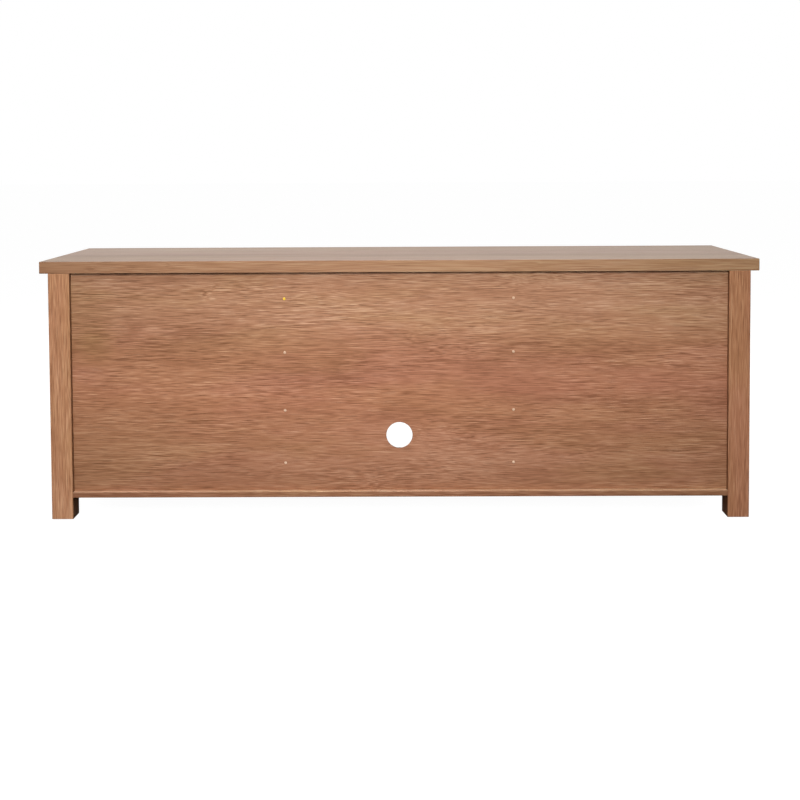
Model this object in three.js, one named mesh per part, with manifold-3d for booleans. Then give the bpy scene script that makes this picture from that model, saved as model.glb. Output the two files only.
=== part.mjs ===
// Media cabinet on four square corner posts: a thick top board, an open middle bay with one shelf,
// and a bay with a shelf and a framed door on each side.
// Units are millimetres. X runs along the width, Y from the front to the rear, and Z up.
// The origin is on the floor under the middle of the top board. The doors face -Y.

import * as THREE from 'three';
import { mergeVertices } from 'three/addons/utils/BufferGeometryUtils.js';
import Module from 'manifold-3d';

const wasm = await Module();
wasm.setup();

// ---- Driving dimensions ----

const WIDTH = 1500;
const DEPTH = 390;
const HEIGHT = 545;

const TOP_THICKNESS = 25;
const TOP_OVERHANG = 18; // past the posts at both sides and at the front; the rear is flush
const POST = 45;
const BOARD = 15; // sides, bottom board, dividers and shelves
const LEG_CLEARANCE = 47; // floor to the underside of the bottom board
const SIDE_RECESS = 10; // outer face of a post to the outer face of a side panel

const BACK_THICKNESS = 5;
const BACK_RECESS = 12; // rear faces of the posts to the rear face of the back panel
const BACK_TONGUE = 6; // how far the back panel enters the groove in a post
const BACK_REBATE = 3; // depth of the step in the bottom board that the back panel stands in
const BACK_PLAY = 1.2; // gap behind the back panel in the posts' grooves
const BACK_TOP_GAP = 0.2; // top edge of the back panel to the top board
const CABLE_HOLE = 55;
const CABLE_HOLE_Z = 175;

const DIVIDER_X = 240; // centre plane of a divider, on both sides of the middle

const SHELF_GAP = 1; // at each end of a shelf
const SIDE_SHELF_INSET = 3; // front and rear edges of a side shelf from the posts
const MIDDLE_SHELF_INSET = 12; // the same for the middle shelf, from the front and the back panel
const SHELF_LIFT = 0.1; // pins to the underside of a shelf
const PIN_DIAMETER = 5;
const PIN_NOSE = 8; // how far a pin stands out under its shelf
const PIN_COLLAR = 0.7; // thickness of the ring that stops a pin at the mouth of its hole
const PIN_COLLAR_RADIUS = 4;
const PIN_HOLE_DEPTH = 6.5;
const PIN_ROW_PITCH = 32;
const PIN_ROWS = [-1, 0, 1]; // shelf heights in steps of the pitch; the shelf lies on the middle row
const PIN_Z = 292;
const SIDE_PIN_Y = [-95, 113];
const MIDDLE_PIN_Y = [-125, 130];

const DOOR_THICKNESS = 18;
const DOOR_INSET = 2; // front face of a door behind the front faces of the posts
const DOOR_GAP = 2;
const HINGE_GAP = 3;
const RAIL = 60; // width of a door's stiles and rails
const TONGUE = 6; // thickness of the door panel and of the tenons in the grooves
const GROOVE_DEPTH = 9.5;
const TONGUE_LENGTH = 9;

const HINGE_HEIGHT = 50;
const HINGE_FROM_END = 75; // end of a door to the middle of its hinge
const LEAF = 1.2;
const LEAF_REACH = 19; // hinge axis to the far edge of a leaf
const KNUCKLES = 5;
const KNUCKLE_DIAMETER = 5;
const HINGE_PIN = 2.4;

const HINGE_PIN_CAP = 2; // radius of the cap at each end of a hinge pin

const KNOB_PROJECTION = 20;
const KNOB_SCREW = 4;
const KNOB_THREAD_DEPTH = 12; // how far the screw's hole runs into the knob
const KNOB_SCREW_TIP_GAP = 1; // tip of the screw to the end of its hole
const KNOB_SCREW_HEAD = 2.6;

const CATCH_HEIGHT = 40;
const CATCH_WIDTH = 14;
const CATCH_DEPTH = 15;
const CATCH_FLANGE = 2;
const CATCH_FLANGE_REACH = 26; // front of a catch to the rear edge of its flange
const CATCH_SCREW_INSET = 20; // front of a catch to the middle of its screw holes
const CATCH_SCREWS = [-11, 11]; // heights of the screw holes from the middle of a catch
const CATCH_FROM_TOP = 35; // top board to the middle of a catch
const STRIKE = 1.2; // thickness of the plate that a catch holds
const STRIKE_WIDTH = 13;
const STRIKE_HEIGHT = 34;
const STRIKE_INSET = 1; // latch edge of a door to the plate
const SMALL_SCREW_HOLE = 1.8; // radius of the screw holes in hinge leaves, catches and strikes

const GLIDE = 1.5; // thickness of the disc under each post
const GLIDE_RADIUS = 11;
const GLIDE_SHANK_RADIUS = 1.2;
const GLIDE_SHANK_TOP = 12.5;
const GLIDE_CHAMFER = 0.6;
const GLIDE_TIP = 2; // height of the cone at the top of a glide's shank

const SLACK = 0.3; // clearance on every side of a tongue, shank or pin in its groove or hole

// ---- Positions worked out from the dimensions ----

const TOP_UNDERSIDE = HEIGHT - TOP_THICKNESS;
const BAY_FLOOR = LEG_CLEARANCE + BOARD;
const REAR = DEPTH / 2;
const FRONT = -DEPTH / 2 + TOP_OVERHANG;
const POST_OUTER = WIDTH / 2 - TOP_OVERHANG;
const POST_INNER = POST_OUTER - POST;
const SIDE_OUTER = POST_OUTER - SIDE_RECESS;
const SIDE_INNER = SIDE_OUTER - BOARD;
const BACK_REAR = REAR - BACK_RECESS;
const BACK_FRONT = BACK_REAR - BACK_THICKNESS;
const BACK_BOTTOM = BAY_FLOOR - BACK_REBATE;
const DIVIDER_INNER = DIVIDER_X - BOARD / 2; // face towards the middle bay
const DIVIDER_OUTER = DIVIDER_X + BOARD / 2; // face towards a side bay

const DOOR_FRONT = FRONT + DOOR_INSET;
const DOOR_BACK = DOOR_FRONT + DOOR_THICKNESS;
const DOOR_BOTTOM = BAY_FLOOR + DOOR_GAP;
const DOOR_TOP = TOP_UNDERSIDE - DOOR_GAP;
const DOOR_MIDDLE_Z = (DOOR_BOTTOM + DOOR_TOP) / 2;
const DOOR_WIDTH = POST_INNER - HINGE_GAP - DIVIDER_OUTER - DOOR_GAP;
const HINGE_X = POST_INNER - HINGE_GAP / 2;
const HINGE_Y = FRONT - KNUCKLE_DIAMETER / 2;

// ---- Materials ----

const oak = new THREE.MeshStandardMaterial({ color: 0xa9765a, roughness: 0.55 });
const steel = new THREE.MeshStandardMaterial({ color: 0xb9bbbd, roughness: 0.35, metalness: 1 });
const bronze = new THREE.MeshStandardMaterial({ color: 0x4a3a2e, roughness: 0.45, metalness: 0.8 });
const plastic = new THREE.MeshStandardMaterial({ color: 0x5d4334, roughness: 0.6 });

// ---- Shapes ----

function box(low, high) {
  const size = high.map((value, i) => value - low[i]);
  const geometry = new THREE.BoxGeometry(...size);
  return geometry.translate(...low.map((value, i) => value + size[i] / 2));
}

// A rod of the given radius between two points.
function rod(radius, start, end, sides = 12) {
  const from = new THREE.Vector3(...start);
  const along = new THREE.Vector3(...end).sub(from);
  const geometry = new THREE.CylinderGeometry(radius, radius, along.length(), sides);
  const turn = new THREE.Quaternion().setFromUnitVectors(
    new THREE.Vector3(0, 1, 0),
    along.clone().normalize(),
  );
  const middle = from.addScaledVector(along, 0.5);
  return geometry.applyQuaternion(turn).translate(middle.x, middle.y, middle.z);
}

// A turned piece: the profile's points are [radius, height] up the Z axis.
function turned(profile, sides) {
  const points = profile.map(([radius, height]) => new THREE.Vector2(radius, height));
  return new THREE.LatheGeometry(points, sides).rotateX(Math.PI / 2);
}

function toSolid(geometry) {
  const bare = geometry.clone();
  bare.deleteAttribute('normal');
  bare.deleteAttribute('uv');
  const closed = mergeVertices(bare, 1e-4);
  return new wasm.Manifold(
    new wasm.Mesh({
      numProp: 3,
      vertProperties: new Float32Array(closed.attributes.position.array),
      triVerts: new Uint32Array(closed.index.array),
    }),
  );
}

function toGeometry(solid) {
  const mesh = solid.getMesh();
  const geometry = new THREE.BufferGeometry();
  geometry.setAttribute('position', new THREE.BufferAttribute(mesh.vertProperties, 3));
  geometry.setIndex(new THREE.BufferAttribute(mesh.triVerts, 1));
  geometry.computeVertexNormals();
  return geometry;
}

// The first list of geometries joined, with the second list cut away.
function carve(joined, cut) {
  const body = joined.map(toSolid).reduce((all, one) => all.add(one));
  return toGeometry(cut.map(toSolid).reduce((left, tool) => left.subtract(tool), body));
}

// A named mesh whose own origin is the middle of its geometry.
function piece(name, geometry, material) {
  geometry.computeBoundingBox();
  const middle = geometry.boundingBox.getCenter(new THREE.Vector3());
  geometry.translate(-middle.x, -middle.y, -middle.z);
  const mesh = new THREE.Mesh(geometry, material);
  mesh.name = name;
  mesh.position.copy(middle);
  return mesh;
}

// Low and high limits in order, for a span given from the middle of the cabinet outwards.
function span(side, inner, outer) {
  return side < 0 ? [-outer, -inner] : [inner, outer];
}

const SIDES = [
  ['left', -1],
  ['right', 1],
];

// ---- Carcass ----

function topBoard() {
  const low = [-WIDTH / 2, -DEPTH / 2, TOP_UNDERSIDE];
  return piece('top_board', box(low, [WIDTH / 2, REAR, HEIGHT]), oak);
}

// Posts run from the glides to the top board. The rear posts are grooved for the back panel.
function post(name, side, front) {
  const [x0, x1] = span(side, POST_INNER, POST_OUTER);
  const [y0, y1] = front ? [FRONT, FRONT + POST] : [REAR - POST, REAR];
  const middle = [(x0 + x1) / 2, (y0 + y1) / 2];
  const shankHole = rod(
    GLIDE_SHANK_RADIUS + SLACK,
    [...middle, 0],
    [...middle, GLIDE_SHANK_TOP + SLACK],
  );
  const [g0, g1] = span(side, POST_INNER - SLACK, POST_INNER + BACK_TONGUE + SLACK);
  const groove = box(
    [g0, BACK_FRONT - SLACK, BACK_BOTTOM - SLACK],
    [g1, BACK_REAR + BACK_PLAY, TOP_UNDERSIDE + SLACK],
  );
  const cuts = front ? [shankHole] : [shankHole, groove];
  return piece(name, carve([box([x0, y0, GLIDE], [x1, y1, TOP_UNDERSIDE])], cuts), oak);
}

// Blind holes for shelf pins in the face of an upright board at x, drilled along direction.
function pinHoles(x, direction, rows) {
  return rows.flatMap((y) =>
    PIN_ROWS.map((row) => {
      const z = PIN_Z + row * PIN_ROW_PITCH;
      const start = [x - direction, y, z];
      return rod(PIN_DIAMETER / 2 + SLACK, start, [x + direction * PIN_HOLE_DEPTH, y, z]);
    }),
  );
}

function sidePanel(name, side) {
  const [x0, x1] = span(side, SIDE_INNER, SIDE_OUTER);
  const board = box([x0, FRONT + POST, LEG_CLEARANCE], [x1, REAR - POST, TOP_UNDERSIDE]);
  return piece(name, carve([board], pinHoles(side * SIDE_INNER, side, SIDE_PIN_Y)), oak);
}

function divider(name, side) {
  const [x0, x1] = span(side, DIVIDER_INNER, DIVIDER_OUTER);
  const board = box([x0, FRONT, BAY_FLOOR], [x1, BACK_FRONT, TOP_UNDERSIDE]);
  const holes = [
    ...pinHoles(side * DIVIDER_OUTER, -side, SIDE_PIN_Y),
    ...pinHoles(side * DIVIDER_INNER, side, MIDDLE_PIN_Y),
  ];
  return piece(name, carve([board], holes), oak);
}

// The bottom board fills the plan between the side panels, notched round the four posts,
// and its rear edge is stepped down for the back panel.
function bottomBoard() {
  const [z0, z1] = [LEG_CLEARANCE, BAY_FLOOR];
  const slab = box([-SIDE_INNER, FRONT, z0], [SIDE_INNER, REAR, z1]);
  const notches = SIDES.flatMap(([, side]) => {
    const [x0, x1] = span(side, POST_INNER, POST_OUTER);
    return [
      box([x0, FRONT - 1, z0 - 1], [x1, FRONT + POST, z1 + 1]),
      box([x0, REAR - POST, z0 - 1], [x1, REAR + 1, z1 + 1]),
    ];
  });
  const step = box([-SIDE_INNER, BACK_FRONT, BACK_BOTTOM], [SIDE_INNER, REAR + 1, z1 + 1]);
  return piece('bottom_board', carve([slab], [...notches, step]), oak);
}

function backPanel() {
  const halfWidth = POST_INNER + BACK_TONGUE;
  const high = [halfWidth, BACK_REAR, TOP_UNDERSIDE - BACK_TOP_GAP];
  const sheet = box([-halfWidth, BACK_FRONT, BACK_BOTTOM], high);
  const hole = rod(
    CABLE_HOLE / 2,
    [0, BACK_FRONT - 1, CABLE_HOLE_Z],
    [0, BACK_REAR + 1, CABLE_HOLE_Z],
    64,
  );
  return piece('back_panel', carve([sheet], [hole]), oak);
}

// ---- Shelves and their pins ----

const SIDE_SHELF_Y = [FRONT + POST + SIDE_SHELF_INSET, REAR - POST - SIDE_SHELF_INSET];
const MIDDLE_SHELF_Y = [FRONT + MIDDLE_SHELF_INSET, BACK_FRONT - MIDDLE_SHELF_INSET];
const SHELF_Z = PIN_Z + PIN_DIAMETER / 2 + SHELF_LIFT;

function shelf(name, [x0, x1], [y0, y1]) {
  const low = [x0 + SHELF_GAP, y0, SHELF_Z];
  return piece(name, box(low, [x1 - SHELF_GAP, y1, SHELF_Z + BOARD]), oak);
}

// A pin in the face of an upright board at x, with its nose pointing along direction.
function shelfPin(name, x, direction, y) {
  const radius = PIN_DIAMETER / 2;
  const profile = [
    [0, SLACK - PIN_HOLE_DEPTH],
    [radius, SLACK - PIN_HOLE_DEPTH],
    [radius, 0],
    [PIN_COLLAR_RADIUS, 0],
    [PIN_COLLAR_RADIUS, PIN_COLLAR],
    [radius, PIN_COLLAR],
    [radius, PIN_NOSE],
    [0, PIN_NOSE],
  ];
  const geometry = turned(profile, 12).rotateY((direction * Math.PI) / 2);
  return piece(name, geometry.translate(x, y, PIN_Z), steel);
}

// The two pins at one end of a shelf.
function pinPair(name, x, direction, rows) {
  return rows.map((y, i) => shelfPin(`${name}_${i ? 'rear' : 'front'}`, x, direction, y));
}

// ---- Doors: inset frames on butt hinges, in a group whose origin is on the hinge axis ----

// Distances across a door are measured from its hinge axis towards the middle of the cabinet.
const HINGE_EDGE = HINGE_GAP / 2;
const LATCH_EDGE = HINGE_EDGE + DOOR_WIDTH;
const PANEL_EDGES = [HINGE_EDGE + RAIL, LATCH_EDGE - RAIL];
const FACE_Y = DOOR_FRONT - HINGE_Y;
const BACK_Y = DOOR_BACK - HINGE_Y;
const TONGUE_Y = [(FACE_Y + BACK_Y - TONGUE) / 2, (FACE_Y + BACK_Y + TONGUE) / 2];
const GROOVE_Y = [TONGUE_Y[0] - SLACK, TONGUE_Y[1] + SLACK];
const KNOB_X = LATCH_EDGE - RAIL / 2;

// A box in a door's group. inward is the direction from the hinge to the middle of the cabinet.
function doorBox(inward, across, [y0, y1], [z0, z1]) {
  const [x0, x1] = span(inward, ...across);
  return box([x0, y0, z0], [x1, y1, z1]);
}

function stile(name, inward, across, groove, holes) {
  const body = doorBox(inward, across, [FACE_Y, BACK_Y], [DOOR_BOTTOM, DOOR_TOP]);
  const cut = doorBox(inward, groove, GROOVE_Y, [DOOR_BOTTOM - 1, DOOR_TOP + 1]);
  return piece(name, carve([body], [cut, ...holes]), oak);
}

// A rail has a stub tenon at each end, and its groove runs on through them.
function rail(name, inward, height, groove) {
  const [x0, x1] = PANEL_EDGES;
  const tenons = [x0 - TONGUE_LENGTH, x1 + TONGUE_LENGTH];
  const body = doorBox(inward, PANEL_EDGES, [FACE_Y, BACK_Y], height);
  const tongue = doorBox(inward, tenons, TONGUE_Y, height);
  const cut = doorBox(inward, [x0 - GROOVE_DEPTH, x1 + GROOVE_DEPTH], GROOVE_Y, groove);
  return piece(name, carve([body, tongue], [cut]), oak);
}

function doorPanel(name, inward) {
  const across = [PANEL_EDGES[0] - TONGUE_LENGTH, PANEL_EDGES[1] + TONGUE_LENGTH];
  const height = [DOOR_BOTTOM + RAIL - TONGUE_LENGTH, DOOR_TOP - RAIL + TONGUE_LENGTH];
  return piece(name, doorBox(inward, across, TONGUE_Y, height), oak);
}

// A turned knob whose foot is on the front of the door, screwed on through the stile.
function knob(name, inward) {
  const outline = new THREE.SplineCurve(
    [
      [8.5, 0],
      [6, 4],
      [6.5, 9],
      [12.5, 13],
      [14, 15.5],
      [12, 18.5],
      [6, 19.7],
    ].map(([radius, height]) => new THREE.Vector2(radius, height)),
  );
  const curve = outline.getPoints(16).map((point) => [point.x, point.y]);
  const profile = [[0, 0], ...curve, [0, KNOB_PROJECTION]];
  const body = turned(profile, 24).rotateX(Math.PI / 2);
  const hole = rod(KNOB_SCREW / 2 + SLACK, [0, 1, 0], [0, -KNOB_THREAD_DEPTH, 0]);
  const mesh = piece(name, carve([body], [hole]), bronze);
  mesh.position.add(new THREE.Vector3(inward * KNOB_X, FACE_Y, DOOR_MIDDLE_Z));
  return mesh;
}

function knobScrew(name, inward) {
  const tip = FACE_Y - KNOB_THREAD_DEPTH + KNOB_SCREW_TIP_GAP;
  const crown = BACK_Y + KNOB_SCREW_HEAD;
  const profile = [
    [0, tip],
    [KNOB_SCREW / 2, tip],
    [KNOB_SCREW / 2, BACK_Y],
    [KNOB_SCREW, BACK_Y],
    [KNOB_SCREW, crown - 1.2],
    [KNOB_SCREW * 0.7, crown - 0.2],
    [0, crown],
  ];
  const geometry = turned(profile, 16).rotateX(-Math.PI / 2);
  return piece(name, geometry.translate(inward * KNOB_X, 0, DOOR_MIDDLE_Z), steel);
}

// The steel plate on the back of the latch stile, opposite the magnetic catch.
function strikePlate(name, inward) {
  const middleZ = TOP_UNDERSIDE - CATCH_FROM_TOP;
  const height = [middleZ - STRIKE_HEIGHT / 2, middleZ + STRIKE_HEIGHT / 2];
  const far = LATCH_EDGE - STRIKE_INSET;
  const plate = doorBox(inward, [far - STRIKE_WIDTH, far], [BACK_Y, BACK_Y + STRIKE], height);
  const x = inward * (far - STRIKE_WIDTH / 2);
  const [start, end] = [[x, BACK_Y - 1, middleZ], [x, BACK_Y + STRIKE + 1, middleZ]];
  const hole = rod(SMALL_SCREW_HOLE, start, end);
  return piece(name, carve([plate], [hole]), steel);
}

// The catch is screwed to the divider through a flange behind its magnet housing.
function magneticCatch(name, side) {
  const middleZ = TOP_UNDERSIDE - CATCH_FROM_TOP;
  const [z0, z1] = [middleZ - CATCH_HEIGHT / 2, middleZ + CATCH_HEIGHT / 2];
  const y0 = DOOR_BACK + STRIKE + SLACK;
  const [x0, x1] = span(side, DIVIDER_OUTER, DIVIDER_OUTER + CATCH_WIDTH);
  const [f0, f1] = span(side, DIVIDER_OUTER, DIVIDER_OUTER + CATCH_FLANGE);
  const housing = box([x0, y0, z0], [x1, y0 + CATCH_DEPTH, z1]);
  const flange = box([f0, y0, z0], [f1, y0 + CATCH_FLANGE_REACH, z1]);
  const holes = CATCH_SCREWS.map((dz) => {
    const at = [y0 + CATCH_SCREW_INSET, middleZ + dz];
    return rod(SMALL_SCREW_HOLE, [f0 - 1, ...at], [f1 + 1, ...at]);
  });
  return piece(name, carve([housing, flange], holes), plastic);
}

// ---- Hinges: leaf, leaf and pin about the group's Z axis ----

const LEAF_GAP = 0.6; // between the closed leaves
const KNUCKLE_PITCH = HINGE_HEIGHT / KNUCKLES;
const KNUCKLE_GAP = 0.3;
const KNUCKLE_RADIUS = KNUCKLE_DIAMETER / 2;
const PLATE_Y = KNUCKLE_RADIUS + 0.5; // where the flat of a leaf begins
const LEAF_SCREWS = [
  [9, -17],
  [13.5, 0],
  [9, 17],
];

// toward is the side of the axis that the leaf is on, and firstKnuckle is 0 or 1.
function hingeLeaf(name, toward, firstKnuckle) {
  const [x0, x1] = span(toward, LEAF_GAP / 2, LEAF_GAP / 2 + LEAF);
  const half = HINGE_HEIGHT / 2;
  const solids = [box([x0, PLATE_Y, -half], [x1, LEAF_REACH, half])];
  for (let i = firstKnuckle; i < KNUCKLES; i += 2) {
    const low = i * KNUCKLE_PITCH - half + KNUCKLE_GAP / 2;
    const high = low + KNUCKLE_PITCH - KNUCKLE_GAP;
    solids.push(box([x0, 0, low], [x1, PLATE_Y + 0.5, high]));
    solids.push(rod(KNUCKLE_RADIUS, [0, 0, low], [0, 0, high]));
  }
  const pinHole = rod(HINGE_PIN / 2 + SLACK, [0, 0, -half - 1], [0, 0, half + 1], 10);
  const screwHoles = LEAF_SCREWS.map(([y, z]) =>
    rod(SMALL_SCREW_HOLE, [x0 - 1, y, z], [x1 + 1, y, z], 10),
  );
  return piece(name, carve(solids, [pinHole, ...screwHoles]), bronze);
}

function hingePin(name) {
  const shank = HINGE_HEIGHT / 2 + SLACK;
  const upperHalf = [
    [HINGE_PIN / 2, shank],
    [HINGE_PIN_CAP, shank],
    [HINGE_PIN_CAP, shank + 0.3],
    [HINGE_PIN_CAP * 0.7, shank + 1],
    [0, shank + 1],
  ];
  const lowerHalf = upperHalf.map(([radius, z]) => [radius, -z]).reverse();
  return piece(name, turned([...lowerHalf, ...upperHalf], 10), bronze);
}

// ---- Glides ----

function glide(name, side, front) {
  const profile = [
    [0, 0],
    [GLIDE_RADIUS - GLIDE_CHAMFER, 0],
    [GLIDE_RADIUS, GLIDE_CHAMFER],
    [GLIDE_RADIUS, GLIDE],
    [GLIDE_SHANK_RADIUS, GLIDE],
    [GLIDE_SHANK_RADIUS, GLIDE_SHANK_TOP - GLIDE_TIP],
    [0, GLIDE_SHANK_TOP],
  ];
  const x = side * (POST_OUTER - POST / 2);
  const y = front ? FRONT + POST / 2 : REAR - POST / 2;
  return piece(name, turned(profile, 16).translate(x, y, 0), plastic);
}

// ---- Assembly ----

const cabinet = new THREE.Group();
cabinet.add(topBoard(), bottomBoard(), backPanel());
cabinet.add(shelf('shelf_middle', [-DIVIDER_INNER, DIVIDER_INNER], MIDDLE_SHELF_Y));

for (const [word, side] of SIDES) {
  const inward = -side;
  cabinet.add(sidePanel(`side_panel_${word}`, side), divider(`divider_${word}`, side));
  for (const [place, front] of [['front', true], ['rear', false]]) {
    cabinet.add(post(`post_${place}_${word}`, side, front));
    cabinet.add(glide(`glide_${place}_${word}`, side, front));
  }

  const bay = span(side, DIVIDER_OUTER, SIDE_INNER);
  cabinet.add(shelf(`shelf_${word}`, bay, SIDE_SHELF_Y));
  cabinet.add(...pinPair(`pin_${word}_outer`, side * SIDE_INNER, inward, SIDE_PIN_Y));
  cabinet.add(...pinPair(`pin_${word}_inner`, side * DIVIDER_OUTER, side, SIDE_PIN_Y));
  cabinet.add(...pinPair(`pin_middle_${word}`, side * DIVIDER_INNER, inward, MIDDLE_PIN_Y));
  cabinet.add(magneticCatch(`catch_${word}`, side));

  const hinged = new THREE.Group();
  hinged.position.set(side * HINGE_X, HINGE_Y, 0);
  cabinet.add(hinged);

  const name = `door_${word}`;
  const [nearEdge, farEdge] = PANEL_EDGES;
  const knobHole = rod(
    KNOB_SCREW / 2 + SLACK,
    [inward * KNOB_X, FACE_Y - 1, DOOR_MIDDLE_Z],
    [inward * KNOB_X, BACK_Y + 1, DOOR_MIDDLE_Z],
  );
  const hingeGroove = [nearEdge - GROOVE_DEPTH, nearEdge + 1];
  const latchGroove = [farEdge - 1, farEdge + GROOVE_DEPTH];
  const [bottomEdge, topEdge] = [DOOR_BOTTOM + RAIL, DOOR_TOP - RAIL];
  const bottomGroove = [bottomEdge - GROOVE_DEPTH, bottomEdge + 1];
  const topGroove = [topEdge - 1, topEdge + GROOVE_DEPTH];
  hinged.add(
    stile(`${name}_hinge_stile`, inward, [HINGE_EDGE, nearEdge], hingeGroove, []),
    stile(`${name}_latch_stile`, inward, [farEdge, LATCH_EDGE], latchGroove, [knobHole]),
    rail(`${name}_bottom_rail`, inward, [DOOR_BOTTOM, bottomEdge], bottomGroove),
    rail(`${name}_top_rail`, inward, [topEdge, DOOR_TOP], topGroove),
    doorPanel(`${name}_panel`, inward),
    knob(`knob_${word}`, inward),
    knobScrew(`knob_screw_${word}`, inward),
    strikePlate(`strike_plate_${word}`, inward),
  );

  const hingeHeights = { lower: DOOR_BOTTOM + HINGE_FROM_END, upper: DOOR_TOP - HINGE_FROM_END };
  for (const [level, z] of Object.entries(hingeHeights)) {
    const hinge = new THREE.Group();
    hinge.position.z = z;
    hinge.add(hingeLeaf(`hinge_${word}_${level}_fixed_leaf`, side, 0));
    hinge.add(hingeLeaf(`hinge_${word}_${level}_door_leaf`, inward, 1));
    hinge.add(hingePin(`hinge_${word}_${level}_pin`));
    hinged.add(hinge);
  }
}

export default cabinet;
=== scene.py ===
"""A media cabinet seen from behind: laminate, hardware, small fixings, lights and the camera.

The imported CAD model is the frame. Everything is in metres: X along the width, Y from the doors
to the back panel, and Z up from the floor.
"""

import math

import bmesh
import bpy
from mathutils import Matrix, Vector


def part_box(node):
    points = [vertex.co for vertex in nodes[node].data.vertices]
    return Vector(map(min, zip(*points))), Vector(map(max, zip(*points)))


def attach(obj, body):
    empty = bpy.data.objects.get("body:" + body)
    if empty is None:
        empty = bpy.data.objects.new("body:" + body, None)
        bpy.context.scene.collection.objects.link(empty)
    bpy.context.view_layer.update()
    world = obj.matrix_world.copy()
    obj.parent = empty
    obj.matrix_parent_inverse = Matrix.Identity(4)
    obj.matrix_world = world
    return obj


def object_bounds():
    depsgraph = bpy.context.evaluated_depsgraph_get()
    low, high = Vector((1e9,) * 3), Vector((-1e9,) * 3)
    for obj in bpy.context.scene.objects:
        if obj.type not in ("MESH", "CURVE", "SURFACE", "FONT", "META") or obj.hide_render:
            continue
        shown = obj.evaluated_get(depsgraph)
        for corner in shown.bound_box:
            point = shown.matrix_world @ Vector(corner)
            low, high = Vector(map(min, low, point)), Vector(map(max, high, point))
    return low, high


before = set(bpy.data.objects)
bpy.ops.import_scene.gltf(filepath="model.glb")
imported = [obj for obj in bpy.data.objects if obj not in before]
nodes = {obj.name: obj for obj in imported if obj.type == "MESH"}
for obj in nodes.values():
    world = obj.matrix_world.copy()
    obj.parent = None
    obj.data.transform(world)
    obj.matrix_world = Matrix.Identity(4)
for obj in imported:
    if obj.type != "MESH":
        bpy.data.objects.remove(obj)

MM = 0.001
CAD_LOW, CAD_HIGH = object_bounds()
SIDES = {"left": -1, "right": 1}


# ---- Camera ----

CAMERA_DISTANCE = 2.471  # behind the rear edge of the top board
CAMERA_HEIGHT = 0.750
CAMERA_OFFSET = -0.020  # across, from the middle of the cabinet
CAMERA_SENSOR = 36
CAMERA_LENS = 53.6
CAMERA_SHIFT = -0.231
CAMERA_YAW = 0.38
CAMERA_PITCH = 2.58
CAMERA_ROLL = 0.30


def make_camera():
    data = bpy.data.cameras.new("camera")
    data.sensor_width = CAMERA_SENSOR
    data.lens = CAMERA_LENS
    data.shift_y = CAMERA_SHIFT
    camera = bpy.data.objects.new("camera", data)
    place = Vector((CAMERA_OFFSET, CAD_HIGH.y + CAMERA_DISTANCE, CAMERA_HEIGHT))
    camera.matrix_world = (
        Matrix.Translation(place)
        @ Matrix.Rotation(math.radians(180 + CAMERA_YAW), 4, "Z")
        @ Matrix.Rotation(math.radians(90 - CAMERA_PITCH), 4, "X")
        @ Matrix.Rotation(math.radians(-CAMERA_ROLL), 4, "Z")
    )
    bpy.context.scene.collection.objects.link(camera)
    bpy.context.scene.camera = camera


make_camera()


# ---- Material graphs ----


def add(tree, kind, inputs=None, **settings):
    """Adds a node. An input is given a value, or an output socket to link."""
    node = tree.nodes.new(kind)
    for key, value in settings.items():
        setattr(node, key, value)
    for key, value in (inputs or {}).items():
        if isinstance(value, bpy.types.NodeSocket):
            tree.links.new(value, node.inputs[key])
        else:
            node.inputs[key].default_value = value
    return node


def math_node(tree, operation, a, b=0.0):
    return add(tree, "ShaderNodeMath", {0: a, 1: b}, operation=operation).outputs[0]


def vector_node(tree, operation, a, b):
    return add(tree, "ShaderNodeVectorMath", {0: a, 1: b}, operation=operation).outputs[0]


def noise(tree, vector, scale, detail=2.0, roughness=0.5):
    """Noise of the vector stretched by scale, one number for each axis, from 0 to 1."""
    stretched = vector_node(tree, "MULTIPLY", vector, scale)
    inputs = {"Vector": stretched, "Scale": 1.0, "Detail": detail, "Roughness": roughness}
    return add(tree, "ShaderNodeTexNoise", inputs)


def remap(tree, value, low, high, to_low=0.0, to_high=1.0):
    inputs = {"Value": value, "From Min": low, "From Max": high}
    inputs.update({"To Min": to_low, "To Max": to_high})
    return add(tree, "ShaderNodeMapRange", inputs, interpolation_type="SMOOTHSTEP").outputs[0]


def blend_colours(tree, factor, a, b, mode="MIX"):
    inputs = {"Factor": factor, 6: a, 7: b}
    return add(tree, "ShaderNodeMix", inputs, data_type="RGBA", blend_type=mode).outputs[2]


def ramp(tree, value, stops):
    node = add(tree, "ShaderNodeValToRGB", {"Fac": value})
    elements = node.color_ramp.elements
    while len(elements) < len(stops):
        elements.new(0.5)
    for element, (position, colour) in zip(elements, stops):
        element.position = position
        element.color = (*colour, 1)
    return node.outputs["Color"]


def new_material(name):
    material = bpy.data.materials.new(name)
    material.use_nodes = True
    material.node_tree.nodes.clear()
    return material, material.node_tree


def finish_material(tree, colour, roughness, height=None, bump=0.0, **constants):
    """Ends a graph in a Principled shader. The constants are set on the shader's own sockets."""
    inputs = {"Base Color": colour, "Roughness": roughness}
    if height is not None:
        bumped = add(tree, "ShaderNodeBump", {"Height": height, "Distance": bump})
        inputs["Normal"] = bumped.outputs[0]
    inputs.update({key.replace("_", " "): value for key, value in constants.items()})
    shader = add(tree, "ShaderNodeBsdfPrincipled", inputs)
    output = add(tree, "ShaderNodeOutputMaterial")
    tree.links.new(shader.outputs[0], output.inputs[0])


# ---- Oak-look laminate ----

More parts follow.
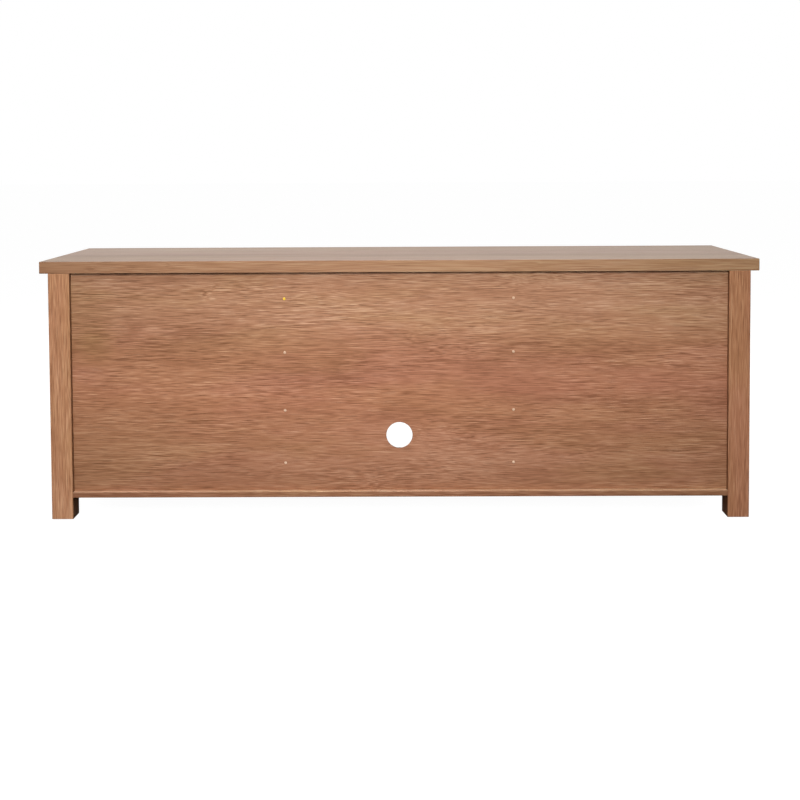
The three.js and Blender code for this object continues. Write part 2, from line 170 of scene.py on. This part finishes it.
OAK_RAMP = (
    (0.0, (0.205, 0.076, 0.034)),
    (0.5, (0.395, 0.168, 0.087)),
    (1.0, (0.580, 0.308, 0.184)),
)
OAK_PORE = (0.11, 0.036, 0.015)
OAK_TAN = (0.985, 1.015, 0.955)
OAK_PINK = (1.01, 0.99, 1.02)
LAYERS = {  # noise cells in a metre along and across the grain, and octaves of detail
    "fine": (26.0, 900.0, 1.0),
    "strokes": (9.0, 700.0, 1.0),
    "pores": (30.0, 800.0, 1.0),
    "streaks": (5.0, 90.0, 3.0),
    "quiet": (3.0, 16.0, 2.0),
    "bands": (0.9, 13.0, 3.0),
    "rings": (0.7, 6.0, 0.5),
    "clouds": (4.0, 10.0, 2.0),
    "hue": (2.2, 9.0, 3.0),
}
STRAIGHT_LAYERS = ("clouds", "hue")  # the others bend with the figure
LAYER_ROUGHNESS = 0.6
GRAINY = {"fine": 1.7, "strokes": 0.65, "streaks": 0.12, "rings": 0.05}
BROAD = {"bands": 0.85, "clouds": 0.4}
RELIEF = {"fine": 0.5, "strokes": 0.5, "pores": -0.5}
RELIEF_HEIGHT = 0.1 * MM
RING_TURNS = 260  # radians of figure over the range of the noise that shapes it
QUIET_NOISE, QUIET_STRENGTH = (0.35, 0.62), (0.70, 1.05)
PORE_NOISE, PORE_DEPTH = (0.55, 0.67), 0.45
HUE_NOISE = (0.38, 0.62)
SATIN_NOISE = (0.3, 0.7)
END_FACE = 0.75  # a face turned this far towards the grain is an end, with its own edge strip

SPOT_SCALE, SPOT_NOISE = (3.0, 8.0, 8.0), (0.52, 0.70)
BEND_SCALE, BEND = (3.5, 9.0, 9.0), (0.004, 0.022)  # metres, outside and inside the spots
BAND_LOW, BAND_HIGH = 0.06, 0.58  # heights where the painted shade and sheen of the back panel start and end
BAND_SWAY, BAND_SWAY_SCALE = 0.12, (1.3, 3.0, 3.0)


def grain_space(tree, along):
    """Coordinates with the grain along their first axis. On end faces the grain runs across."""
    place = add(tree, "ShaderNodeTexCoord")
    axes = add(tree, "ShaderNodeSeparateXYZ", {0: place.outputs["Object"]}).outputs
    normal = add(tree, "ShaderNodeSeparateXYZ", {0: place.outputs["Normal"]}).outputs
    first, second, third = {"X": (0, 1, 2), "Z": (2, 1, 0)}[along]
    lengthwise = {0: axes[first], 1: axes[second], 2: axes[third]}
    crosswise = {0: axes[second], 1: axes[first], 2: axes[third]}
    turned = math_node(tree, "ABSOLUTE", normal[first])
    is_end = math_node(tree, "GREATER_THAN", turned, END_FACE)
    inputs = {
        "Factor": is_end,
        4: add(tree, "ShaderNodeCombineXYZ", lengthwise).outputs[0],
        5: add(tree, "ShaderNodeCombineXYZ", crosswise).outputs[0],
    }
    return add(tree, "ShaderNodeMix", inputs, data_type="VECTOR").outputs[1]


def warp(tree, grain):
    """Bends the grain gently everywhere, and more round the few spots where a figure shows."""
    spots = remap(tree, noise(tree, grain, SPOT_SCALE).outputs[0], *SPOT_NOISE)
    strength = remap(tree, spots, 0.0, 1.0, *BEND)
    bend = noise(tree, grain, BEND_SCALE).outputs["Color"]
    centred = vector_node(tree, "SUBTRACT", bend, (0.5, 0.5, 0.5))
    scaled = add(tree, "ShaderNodeVectorMath", {0: centred, "Scale": strength}, operation="SCALE")
    return vector_node(tree, "ADD", grain, scaled.outputs[0])


def weighted_sum(tree, values, weights, start=0.0):
    """start plus each value's difference from a half, times its weight."""
    total = start - 0.5 * sum(weights.values())
    for name, weight in weights.items():
        part = math_node(tree, "MULTIPLY", values[name], weight)
        total = math_node(tree, "ADD", part, total)
    return total


def tinted(tree, colour, tint):
    return blend_colours(tree, 1.0, colour, (*tint, 1), "MULTIPLY")


def tint_spot(tree, colour, place, centre, reach, tint):
    """Tints a colour fully at the centre of an ellipsoid, fading gently to its surface."""
    away = vector_node(tree, "SUBTRACT", place, centre)
    scaled = vector_node(tree, "DIVIDE", away, reach)
    length = add(tree, "ShaderNodeVectorMath", {0: scaled}, operation="LENGTH").outputs["Value"]
    inside = remap(tree, length, 0.0, 1.0, 1.0, 0.0)
    return blend_colours(tree, inside, colour, tinted(tree, colour, tint))


def paint_light_bands(tree, colour, place, grain, stops):
    """Paints light and shade on a board as tinted level bands that sway along the grain."""
    height = add(tree, "ShaderNodeSeparateXYZ", {0: place}).outputs[2]
    sway = noise(tree, grain, BAND_SWAY_SCALE).outputs[0]
    height = math_node(tree, "ADD", height, math_node(tree, "MULTIPLY", sway, BAND_SWAY))
    bands = ramp(tree, remap(tree, height, BAND_LOW, BAND_HIGH), stops)
    return blend_colours(tree, 1.0, colour, bands, "MULTIPLY")


def grain_values(tree, grain, bent, stretch):
    """The value of every layer of the print, each from 0 to 1."""
    values = {}
    for name, (lengthwise, crosswise, detail) in LAYERS.items():
        source = grain if name in STRAIGHT_LAYERS else bent
        scale = (lengthwise / stretch, crosswise, crosswise)
        values[name] = noise(tree, source, scale, detail, LAYER_ROUGHNESS).outputs[0]
    turns = math_node(tree, "MULTIPLY", values["rings"], RING_TURNS)
    wave = math_node(tree, "MULTIPLY", math_node(tree, "SINE", turns), 0.5)
    values["rings"] = math_node(tree, "ADD", wave, 0.5)
    values["quiet"] = remap(tree, values["quiet"], *QUIET_NOISE, *QUIET_STRENGTH)
    values["pores"] = remap(tree, values["pores"], *PORE_NOISE)
    values["hue"] = remap(tree, values["hue"], *HUE_NOISE)
    return values


def oak(name, along, offset=(0, 0, 0), tint=(1, 1, 1), contrast=1.0, stretch=1.0,
        satin=(0.42, 0.52), bands=None, figures=(), face=None):
    """Printed oak laminate with a satin finish, its grain along the row's X or Z.

    bands is a ramp of tints up the board, a painted shade low down and a painted sheen near the
    top.
    The figures and the face are soft spots with a centre, a reach and a tint of their own, and the
    figures bend with the grain. The face is kept to one face of the board and paints light or
    shade there.
    """
    material, tree = new_material(name)
    place = grain_space(tree, along)
    grain = vector_node(tree, "ADD", place, offset)
    bent = warp(tree, grain)
    values = grain_values(tree, grain, bent, stretch)

    lines = math_node(tree, "MULTIPLY", weighted_sum(tree, values, GRAINY), values["quiet"])
    lines = math_node(tree, "MULTIPLY", lines, contrast)
    tone = math_node(tree, "ADD", lines, weighted_sum(tree, values, BROAD, start=0.5))
    shade = blend_colours(tree, values["hue"], (*OAK_TAN, 1), (*OAK_PINK, 1))
    colour = blend_colours(tree, 1.0, ramp(tree, tone, OAK_RAMP), shade, "MULTIPLY")
    colour = tinted(tree, colour, tint)
    # The bands paint shade low on the board and a sheen near its top.
    if bands:
        colour = paint_light_bands(tree, colour, place, grain, bands)
    if figures:
        on_board = vector_node(tree, "SUBTRACT", bent, offset)
        for spot in figures:
            colour = tint_spot(tree, colour, on_board, *spot)
    # The face spot paints a highlight, a sheen or shade onto one face of the board.
    if face:
        colour = tint_spot(tree, colour, place, *face)
    depth = math_node(tree, "MULTIPLY", values["pores"], values["quiet"])
    depth = math_node(tree, "MULTIPLY", depth, PORE_DEPTH * contrast)
    colour = blend_colours(tree, depth, colour, (*OAK_PORE, 1))

    roughness = remap(tree, values["streaks"], *SATIN_NOISE, *satin)
    height = weighted_sum(tree, values, RELIEF)
    finish_material(tree, colour, roughness, height, RELIEF_HEIGHT, Specular_IOR_Level=0.5)
    return material


WHOLE = 50  # metres, a reach that takes in every board
SKIN = 1.5 * MM  # reach of a tint that stays on one face
MID_BACK = 0.18  # depth of the back panel
THROUGH = 0.1  # reach of a figure through the back panel
BACK_TONGUE = 6 * MM  # how far the back panel enters the post's groove
# Painted light on the back panel: painted shade darkens it towards the bottom, and a painted sheen
# makes it paler and cooler near the top.
BACK_PAINTED_LIGHT = (
    (0.00, (0.74, 0.79, 0.78)),
    (0.25, (0.85, 0.88, 0.89)),
    (0.50, (0.97, 0.97, 1.02)),
    (0.72, (0.94, 0.98, 1.03)),
    (0.90, (0.90, 1.05, 1.07)),
)
BACK_FIGURES = (  # centre, reach and tint
    ((0.505, MID_BACK, 0.396), (0.045, THROUGH, 0.014), (1.16, 1.24, 1.30)),
    ((0.440, MID_BACK, 0.388), (0.085, THROUGH, 0.028), (0.84, 0.80, 0.78)),
    ((0.640, MID_BACK, 0.370), (0.070, THROUGH, 0.060), (0.92, 0.98, 0.86)),
    ((-0.610, MID_BACK, 0.395), (0.090, THROUGH, 0.022), (0.88, 0.84, 0.82)),
    ((0.150, MID_BACK, 0.300), (0.300, THROUGH, 0.035), (0.92, 0.90, 0.92)),
    ((-0.300, MID_BACK, 0.250), (0.260, THROUGH, 0.030), (0.90, 0.88, 0.89)),
)
# Painted sheen: the upper face of the top board paler and cooler, as its satin finish looks at a
# low angle.
TOP_PAINTED_SHEEN = ((0, 0, CAD_HIGH.z), (WHOLE, WHOLE, SKIN), (0.95, 1.06, 1.28))
LEDGE_PAINTED_HIGHLIGHT = ((0, 0.189, 0.0592), (WHOLE, 14 * MM, 3 * MM), (2.25, 2.95, 3.5))  # the step behind the back panel, with a painted highlight where light from above falls on it
# Painted shade on the inner face of each rear post, beside the back panel and down the feet.
INNER_PAINTED_SHADE = (0.42, 0.34, 0.24)
POST_CONTRAST = 0.8
REAR_POSTS = {  # offset of the grain, and tint
    "left": ((4.4, 0.7, 2.8), (0.96, 0.99, 0.96)),
    "right": ((2.4, 1.7, 0.8), (1.06, 1.17, 1.12)),
}
OAK = {
    "top": oak("oak_top", "X", (3.1, 0.4, 0.9), (0.75, 0.91, 0.88), 0.8, 2.0, (0.37, 0.41),
               face=TOP_PAINTED_SHEEN),
    "back": oak("oak_back", "X", bands=BACK_PAINTED_LIGHT, figures=BACK_FIGURES),
    "bottom": oak("oak_bottom", "X", (5.3, 1.2, 1.3), (0.63, 0.64, 0.61), face=LEDGE_PAINTED_HIGHLIGHT),
    "rows": oak("oak_level_boards", "X", (7.3, 2.2, 0.3), contrast=0.8),
    "uprights": oak("oak_uprights", "Z", (1.7, 5.1, 0.6), contrast=0.75),
    "posts": oak("oak_posts", "Z", *REAR_POSTS["left"], POST_CONTRAST),
}
for word, side in SIDES.items():
    # Each rear post gets a material of its own, with painted shade on its inner face.
    inner_face = (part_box("back_panel")[1].x - BACK_TONGUE) * side
    face = ((0, 0, inner_face), (WHOLE, WHOLE, SKIN), INNER_PAINTED_SHADE)
    OAK[f"rear_post_{word}"] = oak(
        f"oak_rear_post_{word}", "Z", *REAR_POSTS[word], POST_CONTRAST, face=face
    )


# ---- Metals and plastic ----

BRUSH_SCALE = (90.0, 90.0, 900.0)
METAL_CLOUD_SCALE = (60.0, 60.0, 60.0)
SPECKLE_SCALE = (1500.0, 1500.0, 1500.0)
PLASTIC_CLOUD_SCALE = (35.0, 35.0, 35.0)
CLOUD_NOISE = (0.3, 0.7)
BRUSH_SPREAD = (0.8, 1.25)  # least and most roughness, against a metal's own
PLASTIC_ROUGHNESS = (0.5, 0.65)


def clouded(tree, place, scale, detail, dark, light):
    cloud = noise(tree, place, scale, detail).outputs[0]
    return ramp(tree, remap(tree, cloud, *CLOUD_NOISE), ((0.0, dark), (1.0, light)))


def metal(name, dark, light, roughness, metallic=1.0):
    material, tree = new_material(name)
    place = add(tree, "ShaderNodeTexCoord").outputs["Object"]
    brushed = noise(tree, place, BRUSH_SCALE, detail=4.0, roughness=0.7).outputs[0]
    colour = clouded(tree, place, METAL_CLOUD_SCALE, 3.0, dark, light)
    low, high = (roughness * spread for spread in BRUSH_SPREAD)
    rough = remap(tree, brushed, *CLOUD_NOISE, low, high)
    finish_material(tree, colour, rough, brushed, bump=0.02 * MM, Metallic=metallic)
    return material


def moulded_plastic(name, dark, light):
    material, tree = new_material(name)
    place = add(tree, "ShaderNodeTexCoord").outputs["Object"]
    speckle = noise(tree, place, SPECKLE_SCALE).outputs[0]
    colour = clouded(tree, place, PLASTIC_CLOUD_SCALE, 2.0, dark, light)
    rough = remap(tree, speckle, *CLOUD_NOISE, *PLASTIC_ROUGHNESS)
    finish_material(tree, colour, rough, speckle, bump=0.05 * MM)
    return material


bronze = metal("aged_bronze", (0.045, 0.030, 0.020), (0.090, 0.060, 0.040), 0.38)
steel = metal("nickel_steel", (0.50, 0.49, 0.47), (0.66, 0.65, 0.62), 0.28)
brass = metal("bright_brass", (0.78, 0.47, 0.03), (0.98, 0.68, 0.08), 0.35, metallic=0.3)
pale_nail = metal("dull_nail", (0.60, 0.40, 0.27), (0.74, 0.53, 0.38), 0.50, metallic=0.2)
plastic = moulded_plastic("brown_plastic", (0.085, 0.045, 0.030), (0.120, 0.066, 0.045))


# ---- CAD nodes: finish and arris ----

SEAM = 1e-6  # metres, within which loose corners are joined


def clear_normals(mesh):
    """Drops the stored normals, so that the modifiers' own ones show."""
    if "custom_normal" in mesh.attributes:
        mesh.attributes.remove(mesh.attributes["custom_normal"])


def smoothing_group(angle):
    """Joins the facets of a CAD mesh and shades it smooth, apart from edges sharper than angle."""
    group = bpy.data.node_groups.new("weld_and_smooth", "GeometryNodeTree")
    for way in ("INPUT", "OUTPUT"):
        group.interface.new_socket("Geometry", in_out=way, socket_type="NodeSocketGeometry")
    source = add(group, "NodeGroupInput")
    inputs = {"Geometry": source.outputs[0], "Distance": SEAM}
    welded = add(group, "GeometryNodeMergeByDistance", inputs)
    smooth = add(group, "GeometryNodeSetShadeSmooth", {0: welded.outputs[0], "Shade Smooth": True})
    bend = add(group, "GeometryNodeInputMeshEdgeAngle").outputs[0]
    compare = add(group, "FunctionNodeCompare", {0: bend, 1: angle}, operation="GREATER_THAN")
    sharp = compare.outputs[0]
    inputs = {0: smooth.outputs[0], "Selection": sharp, "Shade Smooth": False}
    creased = add(group, "GeometryNodeSetShadeSmooth", inputs, domain="EDGE")
    output = add(group, "NodeGroupOutput")
    group.links.new(creased.outputs[0], output.inputs[0])
    return group


SMOOTHING = smoothing_group(math.radians(38))
ARRIS_ANGLE = math.radians(40)


def give(node, material):
    mesh = nodes[node].data
    mesh.materials.clear()
    mesh.materials.append(material)
    clear_normals(mesh)


def board(node, material, arris=0.7 * MM):
    """A wooden CAD node with a fine rounded arris."""
    give(node, material)
    piece = nodes[node]
    piece.data.shade_smooth()
    weld = piece.modifiers.new("weld", "WELD")
    weld.merge_threshold = SEAM
    bevel = piece.modifiers.new("arris", "BEVEL")
    bevel.width = arris
    bevel.segments = 2
    bevel.limit_method = "ANGLE"
    bevel.angle_limit = ARRIS_ANGLE
    bevel.harden_normals = True


def fitting(node, material):
    """A metal or plastic CAD node, shaded smooth round its turned surfaces."""
    give(node, material)
    nodes[node].modifiers.new("smoothing", "NODES").node_group = SMOOTHING


board("top_board", OAK["top"], arris=1.2 * MM)
board("back_panel", OAK["back"], arris=0.4 * MM)
board("bottom_board", OAK["bottom"])
board("shelf_middle", OAK["rows"])
for word in SIDES:
    board(f"shelf_{word}", OAK["rows"])
    board(f"side_panel_{word}", OAK["uprights"])
    board(f"divider_{word}", OAK["uprights"])
    for row in ("front", "rear"):
        finish = OAK[f"rear_post_{word}"] if row == "rear" else OAK["posts"]
        board(f"post_{row}_{word}", finish, arris=1.0 * MM)
        fitting(f"glide_{row}_{word}", plastic)
    for part in ("hinge_stile", "latch_stile", "panel"):
        board(f"door_{word}_{part}", OAK["uprights"])
    for part in ("top_rail", "bottom_rail"):
        board(f"door_{word}_{part}", OAK["rows"])
    fitting(f"catch_{word}", plastic)
    fitting(f"strike_plate_{word}", steel)
    fitting(f"knob_screw_{word}", steel)
    fitting(f"knob_{word}", bronze)
for name in nodes:
    if name.startswith("pin_"):
        fitting(name, steel)
    if name.startswith("hinge_"):
        fitting(name, bronze)


# ---- Small fixings ----

SCREW_SIDES = 32
HEAD_SLOPE = 0.45  # how far the rim of a screw head stands below its crown, in head heights
HEAD_SHOULDER, HEAD_CROWN = 0.93, 0.80  # radii of its upper rings, in head radii
SHOULDER_DROP = 0.4  # of the way down the slope
CROSS_WIDTH = 0.20  # half width of an arm of the cross, in head radii
CROSS_REACH = 0.62
CROSS_DEPTH = 0.75  # in head heights
CROSS_TAPER = 0.8  # size of the cross at its floor, against its mouth
NAIL_STEPS = 5
NAIL_RIM = 0.25  # height of the upright rim, in head heights


def ring(mesh, radius, height, sides):
    turns = [2 * math.pi * i / sides for i in range(sides)]
    return [mesh.verts.new((radius * math.cos(t), radius * math.sin(t), height)) for t in turns]


def bridge(mesh, lower, upper):
    count = len(lower)
    for i in range(count):
        j = (i + 1) % count
        mesh.faces.new((lower[i], lower[j], upper[j], upper[i]))


def screw_head(radius, height):
    """A closed, low, cross-slotted head on the plane z = 0, as a bmesh."""
    mesh = bmesh.new()
    rings = [
        ring(mesh, radius, 0, SCREW_SIDES),
        ring(mesh, radius, height * (1 - HEAD_SLOPE), SCREW_SIDES),
        ring(mesh, radius * HEAD_SHOULDER, height * (1 - HEAD_SLOPE * SHOULDER_DROP), SCREW_SIDES),
        ring(mesh, radius * HEAD_CROWN, height, SCREW_SIDES),
    ]
    mesh.faces.new(list(reversed(rings[0])))
    for lower, upper in zip(rings, rings[1:]):
        bridge(mesh, lower, upper)
    arm, reach = radius * CROSS_WIDTH, radius * CROSS_REACH
    quarter = [(reach, arm), (arm, arm), (arm, reach)]
    outline = []
    for turn in range(4):
        for x, y in quarter:
            for _ in range(turn):
                x, y = -y, x
            outline.append((x, y))
    mouth = [mesh.verts.new((x, y, height)) for x, y in outline]
    depth = height * (1 - CROSS_DEPTH)
    floor = [mesh.verts.new((x * CROSS_TAPER, y * CROSS_TAPER, depth)) for x, y in outline]
    loops = []
    for points in (rings[-1], mouth):
        for i, point in enumerate(points):
            after = points[(i + 1) % len(points)]
            edge = mesh.edges.get((point, after)) or mesh.edges.new((point, after))
            loops.append(edge)
    bmesh.ops.triangle_fill(mesh, use_beauty=True, edges=loops)
    bridge(mesh, list(reversed(mouth)), list(reversed(floor)))
    mesh.faces.new(floor)
    bmesh.ops.recalc_face_normals(mesh, faces=mesh.faces)
    return mesh


def nail_head(radius, height):
    """A closed domed head on the plane z = 0, as a bmesh."""
    mesh = bmesh.new()
    rings = [ring(mesh, radius, 0, SCREW_SIDES)]
    for i in range(NAIL_STEPS):
        turn = math.pi / 2 * i / NAIL_STEPS
        level = height * (NAIL_RIM + (1 - NAIL_RIM) * math.sin(turn))
        rings.append(ring(mesh, radius * math.cos(turn), level, SCREW_SIDES))
    mesh.faces.new(list(reversed(rings[0])))
    for lower, upper in zip(rings, rings[1:]):
        bridge(mesh, lower, upper)
    mesh.faces.new(rings[-1])
    return mesh


def fix(name, head, place, direction, body, material, spin=0.0):
    """Puts a head on a face at place, facing along direction, and gives it to its body."""
    mesh = bpy.data.meshes.new(name)
    turned = Vector(direction).to_track_quat("Z", "X").to_matrix().to_4x4()
    head.transform(Matrix.Translation(place) @ turned @ Matrix.Rotation(spin, 4, "Z"))
    head.to_mesh(mesh)
    head.free()
    mesh.materials.append(material)
    piece = bpy.data.objects.new(name, mesh)
    bpy.context.scene.collection.objects.link(piece)
    piece.modifiers.new("smoothing", "NODES").node_group = SMOOTHING
    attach(piece, body)


NAIL_HEIGHTS = (0.117, 0.2285, 0.351, 0.464)
NAIL_RADIUS = 2.8 * MM
NAIL_DOME = 0.9 * MM


def add_nails():
    """Two columns of nails hold the back panel to the dividers. One nail is bright brass."""
    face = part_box("back_panel")[1].y
    for word, side in SIDES.items():
        low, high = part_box(f"divider_{word}")
        x = (low.x + high.x) / 2
        for i, z in enumerate(NAIL_HEIGHTS, 1):
            bright = side > 0 and i == len(NAIL_HEIGHTS)
            material = brass if bright else pale_nail
            head = nail_head(NAIL_RADIUS, NAIL_DOME)
            fix(f"nail_{word}_{i}", head, (x, face, z), (0, 1, 0), "root", material)


LEAF_SCREWS = ((9 * MM, -17 * MM), (13.5 * MM, 0), (9 * MM, 17 * MM))  # behind and above the axis
LEAF_SCREW_RADIUS = 2.5 * MM
LEAF_SCREW_HEIGHT = 0.24 * MM
LEAF_FACE = 0.3 * MM  # hinge axis to the inner face of each leaf
LEAF_SCREW_TURN = 0.7  # radians from one screw's cross to the next


def add_hinge_screws():
    """Screws on the face of each leaf, which only shows while the door is open."""
    for word, side in SIDES.items():
        for level in ("lower", "upper"):
            pin_low, pin_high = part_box(f"hinge_{word}_{level}_pin")
            axis = (pin_low + pin_high) / 2
            leaves = (("fixed", "root", -side), ("door", f"door_{word}", side))
            for leaf, body, facing in leaves:
                face = axis.x - facing * LEAF_FACE
                for i, (y, z) in enumerate(LEAF_SCREWS, 1):
                    name = f"hinge_screw_{word}_{level}_{leaf}_{i}"
                    place = (face, axis.y + y, axis.z + z)
                    head = screw_head(LEAF_SCREW_RADIUS, LEAF_SCREW_HEIGHT)
                    turn = i * LEAF_SCREW_TURN
                    fix(name, head, place, (facing, 0, 0), body, bronze, turn)


CATCH_SCREW_FROM_REAR = 6 * MM
CATCH_SCREW_OFFSETS = (-11 * MM, 11 * MM)
CATCH_FLANGE = 2 * MM
SMALL_SCREW_RADIUS = 3 * MM
SMALL_SCREW_HEIGHT = 1.2 * MM
FLUSH_SCREW_RADIUS = 1.7 * MM
FLUSH_SCREW_HEIGHT = 0.6 * MM
FLUSH_SCREW_SINK = 0.1 * MM  # crown of the screw below the face of the strike plate
CATCH_SCREW_TURN = 0.5
STRIKE_SCREW_TURN = 0.3


def add_catch_details():
    """Screws in the flange of each catch and in each strike plate."""
    for word, side in SIDES.items():
        low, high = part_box(f"catch_{word}")
        middle = (low + high) / 2
        face = (low.x if side > 0 else high.x) + side * CATCH_FLANGE
        for i, offset in enumerate(CATCH_SCREW_OFFSETS, 1):
            head = screw_head(SMALL_SCREW_RADIUS, SMALL_SCREW_HEIGHT)
            place = (face, high.y - CATCH_SCREW_FROM_REAR, middle.z + offset)
            name = f"catch_screw_{word}_{i}"
            turn = i * CATCH_SCREW_TURN
            fix(name, head, place, (side, 0, 0), "root", steel, turn)
        low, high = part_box(f"strike_plate_{word}")
        middle = (low + high) / 2
        place = (middle.x, high.y - FLUSH_SCREW_HEIGHT - FLUSH_SCREW_SINK, middle.z)
        head = screw_head(FLUSH_SCREW_RADIUS, FLUSH_SCREW_HEIGHT)
        name, body = f"strike_screw_{word}", f"door_{word}"
        fix(name, head, place, (0, 1, 0), body, steel, STRIKE_SCREW_TURN)


add_nails()
add_hinge_screws()
add_catch_details()


# ---- Floor and lights ----

AMBIENT = 0.22
FLOOR_GLOW = 0.965
FLOOR_GREY = 0.12
FLOOR_REACH = 40
WHITE = (1, 1, 1, 1)
WIDE = 180  # degrees, the spread of a plain softbox
LIGHTS = (  # name, place, target, size, power, spread, and whether reflections show it
    ("key_rear", (0.30, 4.0, 2.05), (0.10, 0.19, 0.50), (1.0, 1.5), 15.5, 50, False),
    ("fill_rear", (0, 3.2, 1.4), (0, 0.2, 0.45), (3.0, 1.6), 12, WIDE, True),
    ("overhead", (0.10, 0.85, 2.3), (0, 0.1, 0.4), (1.8, 0.8), 24, WIDE, True),
    ("fill_front", (0, -3.0, 1.25), (0, 0, 0.45), (4.0, 2.2), 19, WIDE, True),
    ("corner_left", (-2.4, -2.0, 1.4), (0, 0, 0.3), (1.2, 1.2), 52, WIDE, False),
    ("corner_right", (2.4, -2.0, 1.4), (0, 0, 0.3), (1.2, 1.2), 52, WIDE, False),
)


def seen_by_camera(tree, seen, otherwise):
    """A shader for camera rays mixed with another for the light that falls on the cabinet."""
    ray = add(tree, "ShaderNodeLightPath").outputs["Is Camera Ray"]
    mixed = add(tree, "ShaderNodeMixShader", {0: ray, 1: otherwise, 2: seen})
    return mixed.outputs[0]


def make_floor():
    """A pale floor that keeps only a faint shadow."""
    material, tree = new_material("pale_floor")
    grey = (FLOOR_GREY, FLOOR_GREY, FLOOR_GREY, 1)
    matt = add(tree, "ShaderNodeBsdfDiffuse", {"Color": grey}).outputs[0]
    glow = add(tree, "ShaderNodeEmission", {"Color": WHITE, "Strength": FLOOR_GLOW}).outputs[0]
    bright = add(tree, "ShaderNodeAddShader", {0: matt, 1: glow}).outputs[0]
    output = add(tree, "ShaderNodeOutputMaterial")
    tree.links.new(seen_by_camera(tree, bright, matt), output.inputs[0])
    mesh = bpy.data.meshes.new("floor")
    turns = ((-1, -1), (1, -1), (1, 1), (-1, 1))
    corners = [(x * FLOOR_REACH, y * FLOOR_REACH, 0) for x, y in turns]
    mesh.from_pydata(corners, [], [(0, 1, 2, 3)])
    mesh.materials.append(material)
    floor = bpy.data.objects.new("floor", mesh)
    bpy.context.scene.collection.objects.link(floor)


def make_world():
    world = bpy.data.worlds.new("studio")
    world.use_nodes = True
    tree = world.node_tree
    tree.nodes.clear()
    white = add(tree, "ShaderNodeBackground", {"Color": WHITE, "Strength": 1.0}).outputs[0]
    dim = add(tree, "ShaderNodeBackground", {"Color": WHITE, "Strength": AMBIENT}).outputs[0]
    output = add(tree, "ShaderNodeOutputWorld")
    tree.links.new(seen_by_camera(tree, white, dim), output.inputs[0])
    bpy.context.scene.world = world


def softbox(name, place, target, size, power, spread, in_reflections):
    data = bpy.data.lights.new(name, "AREA")
    data.shape = "RECTANGLE"
    data.size, data.size_y = size
    data.energy = power
    data.spread = math.radians(spread)
    light = bpy.data.objects.new(name, data)
    light.location = place
    light.rotation_euler = (Vector(target) - Vector(place)).to_track_quat("-Z", "Y").to_euler()
    light.visible_camera = False
    light.visible_glossy = in_reflections
    bpy.context.scene.collection.objects.link(light)


make_floor()
make_world()
for light in LIGHTS:
    softbox(*light)
bpy.context.scene.view_settings.view_transform = "Standard"
